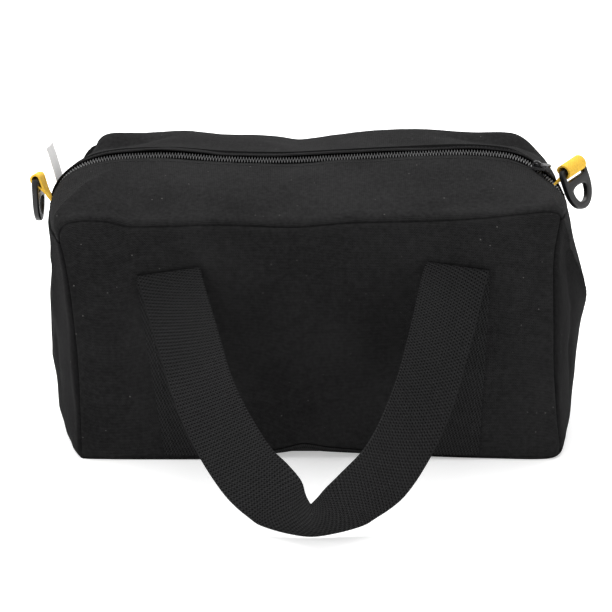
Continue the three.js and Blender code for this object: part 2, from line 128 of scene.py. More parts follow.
REAR_SEAM = [
    (-196, 98, 186), (-197, 99, 199), (-190, 100, 209), (-176, 100, 213), (-110, 100, 214),
    (-28, 100, 209.5), (-11, 100, 207), (10, 100, 209), (94, 100, 214), (150, 100, 212), (178, 100, 211.5),
    (194, 100, 203), (201, 99, 195), (201, 98, 188),
]
FRONT_LEFT_SEAM = [
    (-183.5, -101, 0.5), (-183, -99, 60), (-184, -99, 120), (-187, -99, 155), (-190.5, -98, 177),
]
FRONT_RIGHT_SEAM = [
    (201.5, -99, 7), (198, -99, 34), (193, -99, 89), (191, -99, 137), (190, -99, 170), (193.8, -98, 195),
]
REAR_LEFT_SEAM = [(-190, 99, 1), (-190, 99, 60), (-192, 99, 130), (-196, 98, 186)]
REAR_RIGHT_SEAM = [(200, 99, 1), (199, 99, 60), (199, 99, 130), (201, 98, 188)]
FRONT_FOOT = [
    (-183.5, -101, 0.5), (-150, -102, 0.4), (-85, -102, 0.6), (-25, -101, 8), (-4, -101, 13),
    (12, -101, 10.5), (42, -101, 7.5), (98, -101, 3), (150, -102, 1.2),
    (185, -102, 0.4), (195, -101, 1.6), (201.5, -99, 7),
]
REAR_FOOT = [(-190, 99, 1), (-90, 100, 0.6), (10, 100, 3), (110, 100, 0.6), (200, 99, 1)]
LEFT_FULLNESS = [(0, 19), (20, 25), (63, 30), (115, 26), (160, 20), (186, 17)]      # at each height
RIGHT_FULLNESS = [(0, 12), (19, 17), (49, 24), (98, 32), (118, 34), (139, 30), (168, 24), (190, 17)]

# The handle from its left leg to its right: its inner edge and its outer edge, from the handle's middle.
HANDLE_MIDDLE = 4
HANDLE_EDGES = [
    ((-87, -102.6, 152), (-136, -102.6, 145)),
    ((-87, -102.9, 159.6), (-136, -102.9, 152.6)),
    ((-86.7, -104.8, 161.2), (-135.6, -104.8, 154.2)),
    ((-84, -113, 154.5), (-131.5, -114, 144)),
    ((-72, -149, 129), (-116, -149, 108)),
    ((-56, -195, 97), (-94, -191, 62)),
    ((-30, -237, 67), (-62, -228, 24)),
    ((-17, -249, 58), (-44, -239, 11.5)),
    ((-8, -260, 51), (-36, -241, 7)),
    ((-4.5, -269, 43), (-18, -245, 3)),
    ((0, -276, 38.5), (0, -247, 1.2)),
    ((5, -272, 41), (18, -245, 3)),
    ((12, -265, 47), (37, -241, 7)),
    ((22, -256, 54), (45, -239, 11)),
    ((41, -236, 68), (68, -226, 24)),
    ((61, -195, 97), (98, -191, 62)),
    ((75, -149, 131), (118, -149, 108)),
    ((84, -113, 158), (131.5, -114, 146.5)),
    ((87.5, -104.8, 165.2), (135.8, -104.8, 157.8)),
    ((87.8, -102.9, 163.6), (136, -102.9, 156.2)),
    ((87.8, -102.6, 156), (136, -102.6, 148.5)),
]
STRAP_FOOT = 5
STRAP_TOP = 154.0
STRAP_LEAN = {"left": 18, "right": -6}   # how far each front strap's foot lies from below its top


# ---- Curves and patches ----------------------------------------------------------------------
def through(points, t, wanted):
    """A smooth curve that passes through the points at the parameters t."""
    slope = np.gradient(points, t, axis=0)
    k = np.clip(np.searchsorted(t, wanted, side="right") - 1, 0, len(t) - 2)
    h = (t[k + 1] - t[k])[:, None]
    s = ((wanted - t[k]) / (t[k + 1] - t[k]))[:, None]
    return (
        (2 * s**3 - 3 * s**2 + 1) * points[k]
        + (s**3 - 2 * s**2 + s) * h * slope[k]
        + (3 * s**2 - 2 * s**3) * points[k + 1]
        + (s**3 - s**2) * h * slope[k + 1]
    )


def parameters(points):
    gaps = np.sqrt(np.linalg.norm(np.diff(points, axis=0), axis=1))
    return np.concatenate([[0], np.cumsum(gaps)])


def smooth_curve(points, shares):
    """A smooth curve through the points, at the given shares of its length."""
    p = np.array(points, float)
    t = parameters(p)
    return respaced(through(p, t, np.linspace(0, t[-1], 60 * len(p))), shares)


def respaced(line, shares):
    length = np.concatenate([[0], np.cumsum(np.linalg.norm(np.diff(line, axis=0), axis=1))])
    wanted = np.asarray(shares) * length[-1]
    return np.stack([np.interp(wanted, length, line[:, axis]) for axis in range(3)], axis=1)


def even(count):
    return np.linspace(0, 1, count)


def seamed(length, seams_at_start=True, seams_at_end=True):
    """Shares of a length that are close together beside a seam and STEP apart elsewhere."""
    fine = [0.0]
    gap = FINE_STEP
    while gap < STEP:
        fine.append(fine[-1] + gap)
        gap *= 1.22
    start = np.array(fine if seams_at_start else [0.0])
    end = length - np.array(fine if seams_at_end else [0.0])[::-1]
    middle = np.linspace(start[-1], end[0], max(2, int((end[0] - start[-1]) / STEP)))
    return np.concatenate([start[:-1], middle, end[1:]]) / length


def curve_length(points):
    return float(np.linalg.norm(np.diff(np.array(points, float), axis=0), axis=1).sum())


def patch(foot, top, left, right):
    """A surface stretched between four edge curves, as rows x columns x 3."""
    columns = len(foot)
    rows = len(left)
    u = np.linspace(0, 1, columns)[None, :, None]
    v = np.linspace(0, 1, rows)[:, None, None]
    across = (1 - v) * foot[None] + v * top[None]
    upward = (1 - u) * left[:, None] + u * right[:, None]
    corners = (
        (1 - u) * (1 - v) * foot[0] + u * (1 - v) * foot[-1] + (1 - u) * v * top[0] + u * v * top[-1]
    )
    return across + upward - corners


def normals(surface, outward):
    """Unit normals of a grid of points, on the side that outward points to."""
    n = np.cross(np.gradient(surface, axis=1), np.gradient(surface, axis=0))
    n /= np.maximum(np.linalg.norm(n, axis=2, keepdims=True), 1e-9)
    side = np.sign((n * np.array(outward, float)).sum(axis=2).mean())
    return n * side


def spans(surface):
    """Mean distance along the columns and along the rows, from the first of each."""
    across = np.linalg.norm(np.diff(surface, axis=1), axis=2).mean(axis=0)
    upward = np.linalg.norm(np.diff(surface, axis=0), axis=2).mean(axis=1)
    return np.concatenate([[0], np.cumsum(across)]), np.concatenate([[0], np.cumsum(upward)])


def ripple(surface, size, seed):
    """Smooth random height, about -1 to 1, that varies over a distance of size."""
    flat = surface.reshape(-1, 3) / size + seed * 17.3
    values = [noise.noise(Vector(point)) for point in flat]
    return np.array(values).reshape(surface.shape[:2])


def crease(surface, start, end, width, sharpness=1.0):
    """Height from 0 to 1 of a fold that runs between two places, each a share across and a share up."""
    u, v = spans(surface)
    across, upward = np.meshgrid(u, v)
    first = np.array([start[0] * u[-1], start[1] * v[-1]])
    last = np.array([end[0] * u[-1], end[1] * v[-1]])
    along = (last - first) / np.linalg.norm(last - first)
    s = (across - first[0]) * along[0] + (upward - first[1]) * along[1]
    d = np.abs((across - first[0]) * along[1] - (upward - first[1]) * along[0])
    reach = s / np.linalg.norm(last - first)
    fade = np.clip(reach / 0.15, 0, 1) * np.clip((1 - reach) / 0.4, 0, 1)
    return fade * np.exp(-((d / width) ** sharpness))


def sewn(surface, outward, tucks, wrinkle=1.0, seed=1, folds=0.0):
    """Cloth's own relief: soft dents, puckers near its seams, and edges drawn into the seams.

    tucks gives, for each sewn side, which way and how far its edge is drawn in.
    """
    n = normals(surface, outward)
    u, v = spans(surface)
    away = {
        "left": u[None, :], "right": (u[-1] - u)[None, :],
        "foot": v[:, None], "top": (v[-1] - v)[:, None],
    }
    near = np.full(surface.shape[:2], 1e3)
    drawn = np.zeros(surface.shape)
    for side, tuck in tucks.items():
        near = np.minimum(near, away[side])
        drawn += np.exp(-away[side] / SEAM_WIDTH)[..., None] * np.array(tuck, float)
    dents = 1.7 * ripple(surface, 75, seed) + 0.6 * ripple(surface, 26, seed + 1)
    puckers = 1.0 * ripple(surface * np.array([1.0, 0.5, 0.25]), 10, seed + 2) * np.exp(-near / 10)
    height = wrinkle * (dents * np.clip(near / 12, 0, 1) + puckers * np.clip(near / 2, 0, 1)) + folds
    return surface + n * height[..., None] + drawn


# ---- Meshes ----------------------------------------------------------------------------------
def new_piece(name, points, faces, look, uv=None, sharp=math.radians(50)):
    """A mesh object from points in millimetres, smooth except at its sharp edges."""
    mesh = bpy.data.meshes.new(name)
    mesh.from_pydata((np.asarray(points) * MM).tolist(), [], [tuple(f) for f in faces])
    if uv is not None:
        layer = mesh.uv_layers.new(name="UVMap")
        corner_points = np.zeros(len(mesh.loops), np.int32)
        mesh.loops.foreach_get("vertex_index", corner_points)
        layer.data.foreach_set("uv", np.asarray(uv, np.float32)[corner_points].ravel())
    work = bmesh.new()
    work.from_mesh(mesh)
    bmesh.ops.recalc_face_normals(work, faces=work.faces)
    for face in work.faces:
        face.smooth = True
    for edge in work.edges:
        edge.smooth = edge.calc_face_angle(0) < sharp
    work.to_mesh(mesh)
    work.free()
    mesh.materials.append(look)
    piece = bpy.data.objects.new(name, mesh)
    bpy.context.scene.collection.objects.link(piece)
    return piece


def sheet_mesh(surface, outward, thickness):
    """Points, faces and weave coordinates of a closed sheet, thickened inwards from its outer surface."""
    rows, columns = surface.shape[:2]
    inner = surface - normals(surface, outward) * thickness
    points = np.concatenate([surface.reshape(-1, 3), inner.reshape(-1, 3)])
    index = np.arange(rows * columns).reshape(rows, columns)
    layer = rows * columns
    front = np.stack([index[:-1, :-1], index[:-1, 1:], index[1:, 1:], index[1:, :-1]], -1).reshape(-1, 4)
    rim = np.concatenate([index[0, :], index[1:, -1], index[-1, -2::-1], index[-2:0:-1, 0]])
    following = np.roll(rim, -1)
    side = np.stack([rim, rim + layer, following + layer, following], -1)
    faces = np.concatenate([front, front[:, ::-1] + layer, side])
    u, v = spans(surface)
    uv = np.stack(np.meshgrid(u, v), -1).reshape(-1, 2)
    return points, faces.tolist(), np.concatenate([uv, uv])


def cloth(name, surface, outward, look, thickness=CANVAS):
    points, faces, uv = sheet_mesh(surface, outward, thickness)
    return new_piece(name, points, faces, look, uv)


def joined(name, shapes, look, sharp=math.radians(50)):
    """One piece from several (points, faces) shapes."""
    points = []
    faces = []
    start = 0
    for shape_points, shape_faces in shapes:
        points.append(np.asarray(shape_points, float))
        faces.extend([[i + start for i in face] for face in shape_faces])
        start += len(shape_points)
    return new_piece(name, np.concatenate(points), faces, look, sharp=sharp)


def capsule(length, width, height, rings=5, sides=8):
    """A small rounded bar along x, as points and faces."""
    points = []
    for ring in range(rings):
        angle = math.pi * (ring + 0.5) / rings
        reach = math.sin(angle) ** 0.5
        x = -math.cos(angle) * length / 2
        for side in range(sides):
            turn = 2 * math.pi * side / sides
            points.append((x, math.cos(turn) * width / 2 * reach, math.sin(turn) * height / 2 * reach))
    faces = []
    for ring in range(rings - 1):
        for side in range(sides):
            following = (side + 1) % sides
            a, b = ring * sides + side, ring * sides + following
            faces.append([a, b, b + sides, a + sides])
    faces.append(list(range(sides))[::-1])
    faces.append([(rings - 1) * sides + side for side in range(sides)])
    return np.array(points), faces


def placed(shape, origin, x_axis, y_axis, z_axis):
    points, faces = shape
    basis = np.array([x_axis, y_axis, z_axis], float)
    return points @ basis + np.asarray(origin, float), faces


def unit(v):
    v = np.asarray(v, float)
    return v / max(np.linalg.norm(v), 1e-9)


def stitches(name, path, up, look, pitch=3.2, length=2.3):
    """A row of thread stitches lying on a surface along a path. up is the surface's normal there."""
    path = np.asarray(path, float)
    count = max(2, int(curve_length(path) / pitch))
    line = respaced(path, even(count * 2 + 1))
    lifts = respaced(np.broadcast_to(np.asarray(up, float), path.shape) + path * 1e-9, even(count))
    thread = capsule(length, 0.55, 0.45, rings=4, sides=6)
    shapes = []
    for k in range(count):
        along = unit(line[2 * k + 2] - line[2 * k])
        across = unit(np.cross(lifts[k], along))
        shapes.append(placed(thread, line[2 * k + 1], along, across, np.cross(along, across)))
    return joined(name, shapes, look)


# ---- Materials -------------------------------------------------------------------------------
def new_material(name, colour, roughness, specular=0.5, metallic=0.0):
    made = bpy.data.materials.new(name)
    made.use_nodes = True
    shader = made.node_tree.nodes["Principled BSDF"]
    shader.inputs["Base Color"].default_value = (*colour, 1)
    shader.inputs["Roughness"].default_value = roughness
    shader.inputs["Specular IOR Level"].default_value = specular
    shader.inputs["Metallic"].default_value = metallic
    return made, shader


def adder(tree):
    """Short calls that add nodes to a tree and link them."""
    nodes, links = tree.nodes, tree.links

    def node(kind, **inputs):
        made = nodes.new(kind)
        for name, value in inputs.items():
            socket = made.inputs[name.replace("_", " ")]
            if isinstance(value, bpy.types.NodeSocket):
                links.new(value, socket)
            else:
                socket.default_value = value
        return made

    def maths(operation, *values):
        made = nodes.new("ShaderNodeMath")
        made.operation = operation
        for socket, value in zip(made.inputs, values):
            if isinstance(value, bpy.types.NodeSocket):
                links.new(value, socket)
            else:
                socket.default_value = value
        return made.outputs[0]

    def mix(share, first, second):
        made = nodes.new("ShaderNodeMix")
        made.data_type = "RGBA"
        for socket, value in ((made.inputs[0], share), (made.inputs[6], first), (made.inputs[7], second)):
            if isinstance(value, bpy.types.NodeSocket):
                links.new(value, socket)
            else:
                socket.default_value = value
        return made.outputs[2]

    return node, maths, mix


def grey(colour, share):
    return (*[c * share for c in colour], 1)


def fabric(
    name, colour, along, across, depth, contrast=(0.6, 1.45), blotch=0.9, specular=0.04, twill=0.0,
    lint=False, ribbed=False
):
    """Woven cloth: along and across are the thread spacings in millimetres, twill slants the pattern.

    contrast is how dark and how light the threads are beside the cloth's own colour, and blotch how
    uneven that colour is. Ribbed cloth has its stronger threads across the piece.
    """
    made, shader = new_material(name, colour, 0.92, specular)
    node, maths, mix = adder(made.node_tree)
    links = made.node_tree.links
    place = node("ShaderNodeUVMap")
    split = node("ShaderNodeSeparateXYZ", Vector=place.outputs[0])
    u, v = split.outputs[0], split.outputs[1]
    where = node("ShaderNodeTexCoord").outputs["Object"]
    drift = node("ShaderNodeTexNoise", Vector=where, Scale=260.0, Detail=2.0).outputs[0]
    wander = maths("MULTIPLY", maths("SUBTRACT", drift, 0.5), 2.2)
    slanted = maths("ADD", maths("MULTIPLY", u, 2 * math.pi / along), maths("MULTIPLY", v, twill))
    warp = maths("SINE", maths("ADD", slanted, wander))
    weft = maths("SINE", maths("ADD", maths("MULTIPLY", v, 2 * math.pi / across), wander))
    stronger = warp if ribbed else weft
    crossed = maths("MULTIPLY", maths("MULTIPLY", warp, weft), 0.6)
    weave = maths("ADD", crossed, maths("MULTIPLY", stronger, 0.4))
    fuzz = node("ShaderNodeTexNoise", Vector=where, Scale=900.0, Detail=3.0).outputs[0]
    height = maths("ADD", weave, maths("MULTIPLY", fuzz, 1.2))
    bump = node("ShaderNodeBump", Height=height, Strength=1.0, Distance=depth * MM)
    links.new(bump.outputs[0], shader.inputs["Normal"])
    cloud = node("ShaderNodeTexNoise", Vector=where, Scale=16.0, Detail=6.0).outputs[0]
    mottle = node("ShaderNodeTexNoise", Vector=where, Scale=330.0, Detail=2.0).outputs[0]
    uneven = maths("MULTIPLY", maths("SUBTRACT", maths("ADD", cloud, mottle), 1.0), blotch)
    share = maths("ADD", maths("ADD", maths("MULTIPLY", weave, 0.5), uneven), 0.5)
    tint = mix(share, grey(colour, contrast[0]), grey(colour, contrast[1]))
    if lint:
        cells = node("ShaderNodeTexVoronoi", Vector=where, Scale=150.0)
        chance = node("ShaderNodeSeparateColor", Color=cells.outputs["Color"])
        dot = maths("LESS_THAN", cells.outputs["Distance"], 0.085)
        speck = maths("MULTIPLY", dot, maths("GREATER_THAN", chance.outputs[0], 0.72))
        strength = maths("MULTIPLY", chance.outputs[1], 0.3)
        tint = mix(maths("MULTIPLY", speck, strength), tint, (0.30, 0.29, 0.28, 1))
    links.new(tint, shader.inputs["Base Color"])
    return made


def moulded(name, colour, roughness, specular=0.5, metallic=0.0, grain=0.05):
    """Plastic or metal with a fine uneven skin."""
    made, shader = new_material(name, colour, roughness, specular, metallic)
    node, maths, mix = adder(made.node_tree)
    links = made.node_tree.links
    where = node("ShaderNodeTexCoord").outputs["Object"]
    skin = node("ShaderNodeTexNoise", Vector=where, Scale=700.0, Detail=3.0).outputs[0]
    wear = node("ShaderNodeTexNoise", Vector=where, Scale=90.0, Detail=3.0).outputs[0]
    bump = node("ShaderNodeBump", Height=skin, Strength=0.6, Distance=grain * MM)
    links.new(bump.outputs[0], shader.inputs["Normal"])
    uneven = maths("ADD", maths("MULTIPLY", maths("SUBTRACT", wear, 0.5), 0.3), roughness)
    links.new(uneven, shader.inputs["Roughness"])
    links.new(mix(wear, grey(colour, 0.8), grey(colour, 1.25)), shader.inputs["Base Color"])
    return made


CANVAS_LOOK = fabric("canvas", (0.0116, 0.0115, 0.0117), 1.7, 1.25, 0.22, contrast=(0.4, 1.9), lint=True)
# Painted shade: the end panels use a darker copy of the same canvas, standing in for the shade on the ends.
END_PAINTED_SHADE_LOOK = fabric("canvas_ends_painted_shade", (0.0080, 0.0079, 0.0081), 1.7, 1.25, 0.22, contrast=(0.4, 1.9), lint=True)
# Painted light: the top uses a lighter copy of the same canvas, standing in for the light that falls on it
# from above.
TOP_PAINTED_LIGHT_LOOK = fabric("canvas_top_painted_light", (0.0133, 0.0132, 0.0134), 1.7, 1.25, 0.22, contrast=(0.4, 1.9), lint=True)
WEBBING_LOOK = fabric(
    "webbing", (0.0088, 0.0088, 0.0090), 2.8, 2.4, 0.9, contrast=(0.0, 3.6), blotch=0.2,
    specular=0.06, twill=0.8, ribbed=True
)
STRAP_LOOK = fabric(
    "strap_webbing", (0.0112, 0.0112, 0.0114), 2.5, 2.3, 0.35, contrast=(0.2, 2.2), blotch=0.4,
    twill=0.8, ribbed=True
)
TAPE_LOOK = fabric("zip_tape", (0.003, 0.003, 0.0031), 0.9, 0.9, 0.15)
YELLOW_LOOK = fabric(
    "yellow_webbing", (0.93, 0.56, 0.06), 1.9, 1.6, 0.30, contrast=(0.75, 1.06), specular=0.25, twill=1.9
)
LABEL_LOOK = fabric("label_ribbon", (0.93, 0.92, 0.91), 0.6, 0.6, 0.05, contrast=(0.95, 1.05), specular=0.4)
THREAD_LOOK = moulded("thread", (0.014, 0.014, 0.0145), 0.6, specular=0.2)
COIL_LOOK = moulded("zip_coil", (0.14, 0.14, 0.141), 0.32, specular=0.5)
RING_LOOK = moulded("ring_plastic", (0.0065, 0.0065, 0.007), 0.36, specular=0.4)
METAL_LOOK = moulded("slider_metal", (0.06, 0.06, 0.062), 0.24, metallic=0.9)
BOARD_LOOK = moulded("base_board", (0.03, 0.03, 0.03), 0.6, specular=0.3)


# ---- The zip's frame -------------------------------------------------------------------------
def zip_frames(shares):
    """Points along the zip, with its direction, its tilted width direction and its upward direction."""
    line = smooth_curve(ZIP_LINE, shares)
    along = np.gradient(line, axis=0)
    along /= np.linalg.norm(along, axis=1, keepdims=True)
    tilt = ZIP_TILT * along[:, :1] ** 2
    up = np.cross(along, np.array([0.0, 1.0, 0.0]))
    across = np.cos(tilt) * np.array([[0.0, 1.0, 0.0]]) + np.sin(tilt) * up
    return line, along, across, np.cross(along, across)


ZIP_LENGTH = curve_length(ZIP_LINE)
TOP_SHARES = seamed(ZIP_LENGTH)
zip_line, zip_along, zip_across, zip_over = zip_frames(TOP_SHARES)


def beside_zip(distance, lift):
    return zip_line + zip_across * distance + zip_over * lift


# ---- The top ---------------------------------------------------------------------------------
END_TUCKS = {"left": LEFT_TOP_TUCK, "right": RIGHT_TOP_TUCK}


def front_top():
    """From the front seam, over the front half, to the folded edge beside the zip."""
    seam = smooth_curve(FRONT_SEAM, TOP_SHARES)
    edge = beside_zip(-FRONT_FOLD_EDGE, FRONT_FOLD_LIFT)
    share = seamed(100, seams_at_end=False)[:, None, None]
    surface = (1 - share) * seam[None] + share * edge[None]
    n = normals(surface, (0, -0.4, 1))
    crown = TOP_FULLNESS * np.sin(np.pi * share[..., 0]) ** 0.9
    roll = TOP_ROLL * np.sin(np.pi * np.clip(share[..., 0] / 0.14, 0, 1))
    surface = surface + n * (crown + roll)[..., None]
    corner = 5.5 * crease(surface, (0.02, 0.02), (0.17, 0.85), 6, 1.0)
    far_corner = 2.2 * crease(surface, (0.965, 0.05), (0.93, 0.8), 5, 1.2)
    tucks = {"foot": FRONT_TOP_TUCK, **END_TUCKS}
    surface = sewn(surface, (0, -0.4, 1), tucks, wrinkle=1.2, seed=3, folds=corner + far_corner)
    return folded_edge(surface, n[-1])


def folded_edge(surface, n):
    """Rounds the last row over and down, as a folded canvas edge."""
    outward = surface[-1] - surface[-2]
    outward /= np.linalg.norm(outward, axis=1, keepdims=True)
    rounded = surface[-1] + 0.5 * outward - 0.9 * n
    return np.concatenate([surface, rounded[None]])


def corner_hollow(x, share):
    """How far a hollow in front of each rear corner sinks. It fades out towards the middle."""
    deepest = np.interp(np.abs(x), [105, 137, 165, 180, 194, 204], [0, 6.0, 10.0, 9.0, 2.5, 0])
    before = (np.clip(share / HOLLOW_SHARE, 0, 1)) ** 1.6
    behind = np.clip((1 - share) / (1 - HOLLOW_SHARE), 0, 1) ** 1.3
    return -deepest * np.minimum(before, behind)


def rear_top():
    """From the folded edge behind the zip, back to the rear ridge and down to the rear seam."""
    edge = beside_zip(REAR_FOLD_EDGE, REAR_FOLD_LIFT)
    ridge = smooth_curve(REAR_RIDGE, TOP_SHARES)
    seam = smooth_curve(REAR_SEAM, TOP_SHARES)
    rows = []
    for share in even(34):
        row = (1 - share) * edge + share * ridge
        row = row - zip_over * (1.6 * math.sin(math.pi * min(1, share * 1.6)) * (1 - share))
        row[:, 2] += corner_hollow(row[:, 0], share)
        rows.append(row)
    drop = seam - ridge
    for angle in np.linspace(0, math.pi / 2, 10)[1:]:
        swing = np.array([1 - math.cos(angle), math.sin(angle), 1 - math.cos(angle)])
        rows.append(ridge + drop * swing)
    surface = np.array(rows)
    surface = sewn(surface, (0, 0, 1), {"top": REAR_TOP_TUCK, **END_TUCKS}, wrinkle=1.0, seed=7)
    n = normals(surface, (0, 0, 1))[0]
    return folded_edge(surface[::-1], n)


front_surface = front_top()
rear_surface = rear_top()


def top_parts(surface):
    """Splits the columns at the two places where the opening length is divided."""
    middle = zip_line[:, 0]
    first = int(np.argmax(middle > -SPLIT))
    last = int(np.argmax(middle > SPLIT))
    return {
        "left": surface[:, : first + 1],
        "middle": surface[:, first : last + 1],
        "right": surface[:, last:],
    }


def ride_top(piece, part, body):
    """The middle rides on the opening half, and each end stays fixed where it is built."""
    if part == "middle":
        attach(piece, body)
        return
    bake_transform(piece)


def tooth_shapes(side, low, high):
    """Zip teeth on one side, for the length of the zip between two x positions."""
    count = int(ZIP_LENGTH / TOOTH_PITCH)
    line, along, across, over = zip_frames(even(count))
    tooth = capsule(3.9, 0.95, 1.9)
    shapes = []
    for k in range(4, count - 2):
        middle = line[k] + along[k] * (TOOTH_PITCH / 2 if side > 0 else 0)
        if not low <= middle[0] < high:
            continue
        origin = middle + across[k] * side * 1.6 + over[k] * 0.4
        shapes.append(placed(tooth, origin, across[k] * side, along[k], over[k] * side))
    return shapes


def seam_allowance(row, side):
    """The folded-in edge below a seam. It closes the seam from inside when the top swings open."""
    down = np.linspace(0, 1, 5)[:, None, None]
    inward = (row * 0 + np.array([0, -side, 0]))[None]
    return row[None] + inward * (1.0 + 1.5 * down) - np.array([0, 0, ALLOWANCE]) * down


def build_top():
    limits = {"left": (-1e3, -SPLIT), "middle": (-SPLIT, SPLIT), "right": (SPLIT, 1e3)}
    for label, side, surface in (("front", -1, front_surface), ("rear", 1, rear_surface)):
        body = f"top_{label}"
        inner = beside_zip(side * 0.5, -0.9)
        outer = beside_zip(side * TAPE_HALF, -0.9)
        share = np.linspace(0, 1, 5)[:, None, None]
        tape = (1 - share) * inner[None] + share * outer[None]
        for part, piece_surface in top_parts(surface).items():
            # The top's strips and seam allowances take the lighter copy of the canvas, which is painted
            # light.
            strip = cloth(f"top_{label}_{part}", piece_surface, (0, 0, 1), TOP_PAINTED_LIGHT_LOOK)
            hidden = seam_allowance(piece_surface[0], side)
            allowance = cloth(f"seam_allowance_{label}_{part}", hidden, (0, -side, 0), TOP_PAINTED_LIGHT_LOOK, 0.8)
            tape_piece = cloth(f"zip_tape_{label}_{part}", top_parts(tape)[part], (0, 0, 1), TAPE_LOOK, 0.7)
            teeth = joined(f"zip_teeth_{label}_{part}", tooth_shapes(side, *limits[part]), COIL_LOOK)
            above = normals(piece_surface, (0, 0, 1))[-4]
            row = piece_surface[-4] + above * 0.25
            seam = stitches(f"zip_stitching_{label}_{part}", row, above, THREAD_LOOK)
            for piece in (strip, allowance, tape_piece, teeth, seam):
                ride_top(piece, part, body)
            if part == "middle":
                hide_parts(f"top_{label}_strip")
                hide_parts(f"zip_{label}_tape")
                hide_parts(f"zip_{label}_coil")
            elif part == "left" and label == "front":
                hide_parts("left_top_end")
                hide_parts("zip_left_end")
            elif part == "right" and label == "front":
                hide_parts("right_top_end")
                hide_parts("zip_right_end")


build_top()


# ---- Side panels and bottom ------------------------------------------------------------------
def face_surface(foot, top, left, right, facing, tucks, seed):
    across = seamed(390)
    upward = seamed(200)
    surface = patch(
        smooth_curve(foot, across), smooth_curve(top, across),
        smooth_curve(left, upward), smooth_curve(right, upward)
    )
    u, v = across[None, :], upward[:, None]
    surface[..., 1] += facing * FRONT_FULLNESS * np.sin(np.pi * u) ** 0.8 * np.sin(np.pi * v) ** 0.8
    return sewn(surface, (0, facing, 0), tucks, wrinkle=1.3, seed=seed)


def end_top_edge(column, shares):
    """The top's edge at one end of the bag, from front to rear, before it is drawn into the seam."""
    front_edge = front_surface[:-1, column]
    rear_edge = rear_surface[-2::-1, column]
    return respaced(np.concatenate([front_edge, rear_edge]), shares)


def end_surface(front, rear, top, fullness, sign, tucks, seed, folds):
    across = seamed(200)
    upward = seamed(188)
    front_line = smooth_curve(front, upward)
    rear_line = smooth_curve(rear, upward)
    depth = 2 * across - 1
    heights, amounts = np.array(fullness, float).T
    foot = (1 - across[:, None]) * front_line[0] + across[:, None] * rear_line[0]
    foot[:, 0] += sign * amounts[0] * (1 - depth**2)
    surface = patch(foot, top(across), front_line, rear_line)
    swell = np.interp(surface[..., 2], heights, amounts)
    edge_swell = np.interp(upward, [0, 1], [amounts[0], amounts[-1]])[:, None]
    surface[..., 0] += sign * (swell - edge_swell) * (1 - depth[None, :] ** 2)
    relief = sum(height * crease(surface, start, end, width, 1.1) for height, start, end, width in folds)
    return sewn(surface, (sign, 0, 0), tucks, wrinkle=1.6, seed=seed, folds=relief)


def bottom_surface():
    across = seamed(390)
    upward = seamed(200)
    surface = patch(
        respaced(front_face[0], across), respaced(rear_face[0], across),
        respaced(left_end[0], upward), respaced(right_end[0], upward)
    )
    surface[..., 2] *= 1 - 0.9 * np.sin(np.pi * upward)[:, None] ** 0.25
    surface[..., 2] = np.maximum(surface[..., 2], 0.35)
    return surface


front_face = face_surface(
    FRONT_FOOT, FRONT_SEAM, FRONT_LEFT_SEAM, FRONT_RIGHT_SEAM, -1,
    {"foot": FRONT_FOOT_TUCK, "top": FRONT_TOP_TUCK, "left": FRONT_LEFT_TUCK, "right": FRONT_RIGHT_TUCK}, 11
)
rear_face = face_surface(
    REAR_FOOT, REAR_SEAM, REAR_LEFT_SEAM, REAR_RIGHT_SEAM, 1,
    {"foot": REAR_FOOT_TUCK, "top": REAR_TOP_TUCK, "left": REAR_LEFT_TUCK, "right": REAR_RIGHT_TUCK}, 15
)
left_end = end_surface(
    FRONT_LEFT_SEAM, REAR_LEFT_SEAM, lambda shares: end_top_edge(0, shares), LEFT_FULLNESS, -1,
    {"foot": LEFT_FOOT_TUCK, "left": FRONT_LEFT_TUCK, "right": REAR_LEFT_TUCK}, 19,
    [(3.0, (0.16, 0.98), (0.30, 0.35), 6), (-2.5, (0.30, 0.95), (0.22, 0.1), 7)]
)
right_end = end_surface(
    FRONT_RIGHT_SEAM, REAR_RIGHT_SEAM, lambda shares: end_top_edge(-1, shares), RIGHT_FULLNESS, 1,
    {"foot": RIGHT_FOOT_TUCK, "left": FRONT_RIGHT_TUCK, "right": REAR_RIGHT_TUCK}, 23,
    [(5.0, (0.03, 1.0), (0.42, 0.45), 5), (-3.0, (0.12, 0.9), (0.2, 0.1), 8)]
)


def build_body():
    panels = (
        ("front_canvas", front_face, (0, -1, 0), "front_panel"),
        ("rear_canvas", rear_face, (0, 1, 0), "back_panel"),
        ("left_end_canvas", left_end, (-1, 0, 0), "left_end_panel"),
        ("right_end_canvas", right_end, (1, 0, 0), "right_end_panel"),
        ("bottom_canvas", bottom_surface(), (0, 0, -1), "bottom_panel"),
    )
    made = {}
    for name, surface, outward, node in panels:
        # The end panels take the darker copy of the canvas, which is painted shade; the others take the
        # plain canvas.
        piece = cloth(name, surface, outward, END_PAINTED_SHADE_LOOK if outward[0] else CANVAS_LOOK)
        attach(piece, "bag")
        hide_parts(node)
        made[name] = piece
    return made


body_pieces = build_body()


# ---- Straps and handles ----------------------------------------------------------------------
def depth_on(piece, facing):
    """A function that gives the y of the piece's outer surface at x, z."""
    mesh = piece.data
    tree = BVHTree.FromPolygons([v.co for v in mesh.vertices], [p.vertices for p in mesh.polygons])

    def at(x, z):
        hit = tree.ray_cast(Vector((x * MM, facing * 0.2, z * MM)), Vector((0, -facing, 0)))[0]
        return hit.y / MM if hit else facing * 100.0

    return at


